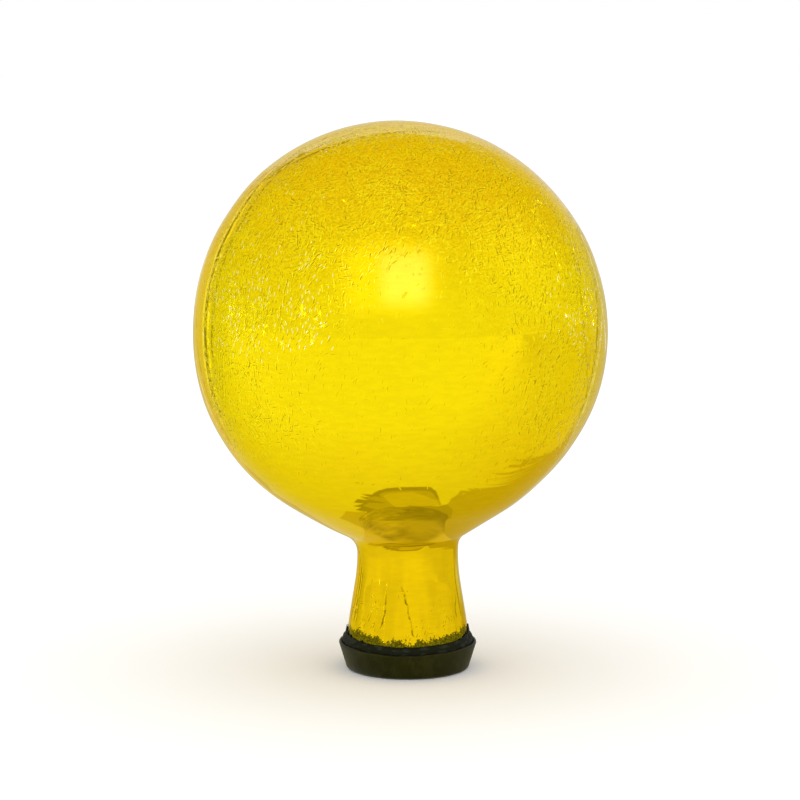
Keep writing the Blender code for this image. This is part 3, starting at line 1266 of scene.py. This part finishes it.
@dataclass
class NeckSleeve:
    """A dull sleeve round the neck that only the underside of the ball sees.

    It mirrors as the dark ellipse under the ball, and its bright top as the arch above that: it glows
    with drawn tones, a painted reflection of the neck and stopper. Its foot stands clear of the
    stopper, and above the sealant it lies close to the glass.
    """

    globe: Globe
    foot: tuple[Point, ...] = ((0.0446, 0.0), (0.0446, 0.018), (0.0412, 0.0235))
    glass_from: float = 24.5 * MM
    gap: float = 0.5 * MM
    low_gap: float = 1.3 * MM
    low_height: float = 34 * MM
    low_rise: float = 10 * MM
    foot_across: Point = (-0.022, 0.006)
    foot_light: Point = (0.52, 0.36)
    middle_heights: Point = (0.044, 0.062)
    middle_light: float = 0.56
    shoulder_heights: Point = (0.067, 0.073)
    shoulder_share: float = 0.84
    streak_mm: float = 13.0
    streak_across: Point = (-0.012, 0.016)
    streak_depth: Point = (0.85, 0.25)
    arch_middle: float = 2 * MM
    arch_top: float = 84 * MM
    arch_bend: float = -24.0
    arch_edge: float = 7 * MM
    arch_light: float = 0.78

    def outline(self) -> list[Point]:
        """Work out its outline.

        Returns:
            Points (r, z), upwards.
        """
        neck = self.globe.outside(40, 14, 8)[:51]
        outline = list(self.foot)
        for before, point, after in zip(neck, neck[1:], neck[2:]):
            if point[1] > self.glass_from:
                low = smoothstep((self.low_height - point[1]) / self.low_rise)
                gap = self.gap + self.low_gap * low
                along = (Vector(after) - Vector(before)).normalized() * gap
                outline.append((point[0] + along.y, point[1] - along.x))
        return outline

    def light(self, pattern: Pattern) -> Node:
        """Draw its tones: dark and streaked below, with a bright arched top.

        Args:
            pattern: Its material's pattern.

        Returns:
            Its brightness.
        """
        # Painted reflection: the dark streaked tones stand for the mirrored neck and stopper, the bright
        # top for the arch.
        node, height, across = pattern.node, pattern.height, pattern.across
        dim = node(EASE, across, *self.foot_across, *self.foot_light)
        light = node(EASE, height, *self.middle_heights, dim, self.middle_light)
        shoulder = node(EASE, height, *self.shoulder_heights, 1.0, self.shoulder_share)
        light = node("Math.MULTIPLY", light, shoulder)
        streaks = node("TexNoise", pattern.stretched(1.0, 1.0, 2.6), PER_MM / self.streak_mm, 3.0)
        depth = node(EASE, across, *self.streak_across, *self.streak_depth)
        wave = node("Math.MULTIPLY", node("Math.SUBTRACT", streaks, 0.46), depth)
        light = node("Math.ADD", light, wave)
        off = node("Math.ADD", across, -self.arch_middle)
        bend = node("Math.MULTIPLY", off, off)
        top = node("Math.MULTIPLY_ADD", bend, self.arch_bend, self.arch_top)
        above = node(EASE, node("Math.SUBTRACT", height, top), -self.arch_edge, 0.0)
        return node("Mix", above, light, self.arch_light)

    def build(self, brown: float) -> None:
        """Build the sleeve, which is clear from inside.

        Args:
            brown: How much stronger its blue is than its red.
        """
        shape = turned(self.outline(), 96, closed=False)
        lowest = min(shape.faces, key=lambda face: face.calc_center_median().z)
        if lowest.normal.dot(lowest.calc_center_median()) < 0:
            bmesh.ops.reverse_faces(shape, faces=shape.faces)
        self.globe.set_off_axis(shape)
        # The sleeve glows with its painted reflection, though it is no lamp, and is seen from outside
        # only.
        glow = Glow("painted_neck_reflection", brown)
        inner = glow.pattern.node("NewGeometry").outputs["Backfacing"]
        outer = glow.pattern.node("Math.SUBTRACT", 1.0, inner)
        glow.hang(shape, self.light(glow.pattern), outer)


@dataclass
class Studio:
    """Floor, backdrop, lights and camera, as in the photograph."""

    globe: Globe
    distance: float = 1.6
    elevation_deg: float = 5.6
    pitch: float = math.radians(7.154)
    lens_mm: float = 117.44
    sensor_mm: float = 36.0
    aside: float = 0.55 * MM
    brown: float = 0.62
    sweep_lean: float = 0.35
    sweep_span: Point = (-0.30, 0.12)
    sweep_light: Point = (1.02, 0.80)
    lamp_distance: float = 2.0
    lamp_heights: Point = (0.6, 1.4)
    hoop_distance: float = 0.30
    hoop_steps: int = 48
    room: tuple[Point, ...] = (
        (-1.0, 0.72), (-0.9, 0.75), (-0.44, 0.84), (0.0, 0.88), (0.5, 0.92), (1.0, 0.98)
    )

    def __post_init__(self) -> None:
        """Aim at the ball's centre."""
        self.target = Vector((-self.globe.offset, 0, self.globe.ball_centre))

    def away(self, azimuth: float, elevation: float) -> Vector:
        """Direction from the ball, with the azimuth in degrees from the front to the right."""
        turn, rise = math.radians(azimuth), math.radians(elevation)
        return Vector((math.sin(turn) * math.cos(rise), -math.cos(turn) * math.cos(rise), math.sin(rise)))

    def add_floor(self) -> None:
        """Add a plain pale floor."""
        shape = bmesh.new()
        bmesh.ops.create_circle(shape, cap_ends=True, segments=96, radius=200.0)
        paper, pattern = new_material("white paper")
        matt = pattern.node(
            "BsdfPrincipled", Base_Color=linear("#F8F8F8"), Roughness=0.9, Specular_IOR_Level=0.0
        )
        pattern.node("OutputMaterial", matt)
        add_object("floor", shape, paper)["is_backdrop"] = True

    def add_camera(self) -> None:
        """Add the camera at the photograph's place."""
        camera = bpy.data.cameras.new("camera")
        camera.lens = self.lens_mm
        camera.sensor_width = self.sensor_mm
        camera.clip_end = 500.0
        holder = bpy.data.objects.new("camera", camera)
        out = self.away(0, self.elevation_deg)
        holder.location = self.target + out * self.distance + Vector((self.aside, 0, 0))
        holder.rotation_euler = (math.pi / 2 - self.pitch, 0, 0)
        bpy.context.scene.collection.objects.link(holder)
        bpy.context.scene.camera = holder

    def add_world(self) -> None:
        """Surround the set with soft light, a little brighter at the front, before a white backdrop."""
        world = bpy.data.worlds.new("studio")
        world.use_nodes = True
        world.node_tree.nodes.clear()
        node = Pattern(world.node_tree).node
        way = node("TexCoord").outputs["Generated"]
        facing = node("VectorMath.DOT_PRODUCT", way, tuple(self.away(0, self.elevation_deg)))
        curve = node("ValToRGB", node("MapRange.LINEAR", facing, -1.0, 1.0))
        stops = curve.color_ramp.elements
        while len(stops) < len(self.room):
            stops.new(0.5)
        for stop, (facing_at, light) in zip(stops, self.room):
            stop.position = (facing_at + 1) / 2
            stop.color = (light, light, light, 1.0)
        room, paper = node("Background", curve), node("Background", (1, 1, 1, 1))
        seen = node("LightPath").outputs["Is Camera Ray"]
        node("OutputWorld", node("MixShader", seen, room, paper))
        bpy.context.scene.world = world

    def add_card(self, card: Card) -> None:
        """Hang a card that fades out softly towards its edges round the ball.

        Args:
            card: Its place, size and brightness.
        """
        shape = bmesh.new()
        bmesh.ops.create_grid(shape, x_segments=1, y_segments=1, size=0.5)
        bmesh.ops.scale(shape, vec=(*card.size, 1.0), verts=shape.verts)
        glow = Glow(card.name, card.coolness)
        node = glow.pattern.node
        spot = node("SeparateXYZ", glow.pattern.place).outputs
        shares = []
        for axis, size in zip("XY", card.size):
            off = node("Math.ABSOLUTE", node("Math.DIVIDE", spot[axis], size / 2))
            shares.append(node(EASE, off, 1 - card.soft, 1.0, 1.0, 0.0))
        board = glow.hang(shape, card.light, node("Math.MULTIPLY", *shares))
        out = self.away(*card.spot)
        board.location = self.target + out * card.away
        board.rotation_euler = (-out).to_track_quat("-Z", "Y").to_euler()

    def add_bank(self, bank: LampBank) -> None:
        """Stand a bank of small lamps round the ball.

        Args:
            bank: Its lamps' places, sizes and brightness.
        """
        chance = random.Random(bank.name)
        shape = bmesh.new()
        for _ in range(bank.count):
            azimuth = chance.uniform(*bank.azimuth)
            elevation = chance.uniform(*bank.elevation)
            wide = bank.size_deg[0] / 2 / math.cos(math.radians(elevation))
            high = bank.size_deg[1] / 2 * chance.uniform(*self.lamp_heights)
            corners = [(-wide, -high), (wide, -high), (wide, high), (-wide, high)]
            ways = [self.away(azimuth + x, elevation + y) for x, y in corners]
            shape.faces.new([shape.verts.new(self.target + way * self.lamp_distance) for way in ways])
        Glow(bank.name, bank.coolness).hang(shape, bank.light)

    def add_hoop(self, hoop: Hoop) -> None:
        """Stand part of a hoop behind the ball.

        Args:
            hoop: Its place and brightness.
        """
        back = -self.away(0, self.elevation_deg)
        left = Vector((-1, 0, 0))
        up = back.cross(left).normalized()
        middle = self.target + back * self.hoop_distance
        start, end = hoop.span_deg
        shape = bmesh.new()
        rings = []
        for i in range(self.hoop_steps + 1):
            turn = math.radians(start + (end - start) * i / self.hoop_steps)
            out = left * math.cos(turn) + up * math.sin(turn)
            nearer = 1 - hoop.bow * (2 * i / self.hoop_steps - 1) ** 2
            ring = []
            for inset in hoop.inset:
                sine = 1 - inset * nearer
                cosine = math.sqrt(1 - sine * sine)
                ball = self.globe.ball_radius
                run = (self.hoop_distance + ball * cosine) / (1 - 2 * cosine * cosine)
                ring.append(shape.verts.new(middle + out * (ball * sine + run * 2 * sine * cosine)))
            rings.append(ring)
        for first, second in zip(rings, rings[1:]):
            shape.faces.new((first[0], second[0], second[1], first[1]))
        Glow(hoop.name, hoop.coolness).hang(shape, hoop.light)

    def add_sweep(self) -> None:
        """Lay a wide card on the floor, darker away from the front, that only the ball sees."""
        shape = bmesh.new()
        bmesh.ops.create_grid(shape, x_segments=1, y_segments=1, size=30.0)
        glow = Glow("sweep")
        spot = glow.pattern.node("SeparateXYZ", glow.pattern.place).outputs
        tilted = glow.pattern.node("Math.MULTIPLY_ADD", spot["X"], self.sweep_lean, spot["Y"])
        light = glow.pattern.node(EASE, tilted, *self.sweep_span, *self.sweep_light)
        board = glow.hang(shape, light)
        board.location.z = 0.2 * MM

    def add_floor_card(self, card: FloorCard) -> None:
        """Lay a card on the floor.

        Args:
            card: Its outline and brightness.
        """
        shape = bmesh.new()
        height = card.height_mm * MM
        corners = [shape.verts.new((x * MM, y * MM, height)) for x, y in card.outline_mm]
        bmesh.ops.contextual_create(shape, geom=corners)
        bmesh.ops.triangulate(shape, faces=shape.faces)
        Glow(card.name, self.brown).hang(shape, card.light)

    def add_sky(self) -> None:
        """Light the floor evenly from above, with soft shadows."""
        lamp = bpy.data.lights.new("sky_panel", "SUN")
        lamp.energy = 1.0
        lamp.angle = math.radians(110)
        holder = bpy.data.objects.new("sky_panel", lamp)
        holder.location = (0, 0, 3)
        holder.visible_glossy = False
        bpy.context.scene.collection.objects.link(holder)

    def build(self) -> None:
        """Build the whole set."""
        self.add_floor()
        self.add_camera()
        self.add_world()
        self.add_sweep()
        NeckSleeve(self.globe).build(self.brown)
        for card in CARDS:
            self.add_card(card)
        for bank in BANKS:
            self.add_bank(bank)
        for hoop in HOOPS:
            self.add_hoop(hoop)
        for floor_card in FLOOR_CARDS:
            self.add_floor_card(floor_card)
        self.add_sky()
        bpy.context.scene.view_settings.view_transform = "Standard"


def main() -> None:
    """Build every piece in order, and report each one."""
    logging.basicConfig(level=logging.INFO, format="%(name)s: %(message)s")
    glass = CrackleGlass().build()
    rubber = MouldedRubber().build()
    sealant = CuredSealant().build()
    globe = Globe()
    stopper = Stopper(globe)
    Studio(globe).build()
    globe.build(glass)
    stopper.build(rubber)
    SealingBead(stopper).build(sealant)
    boxes = {"cad": CAD_BOX, "looks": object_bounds()}
    {name: [list(corner) for corner in box] for name, box in boxes.items()}


if __name__ == "__main__":
    main()
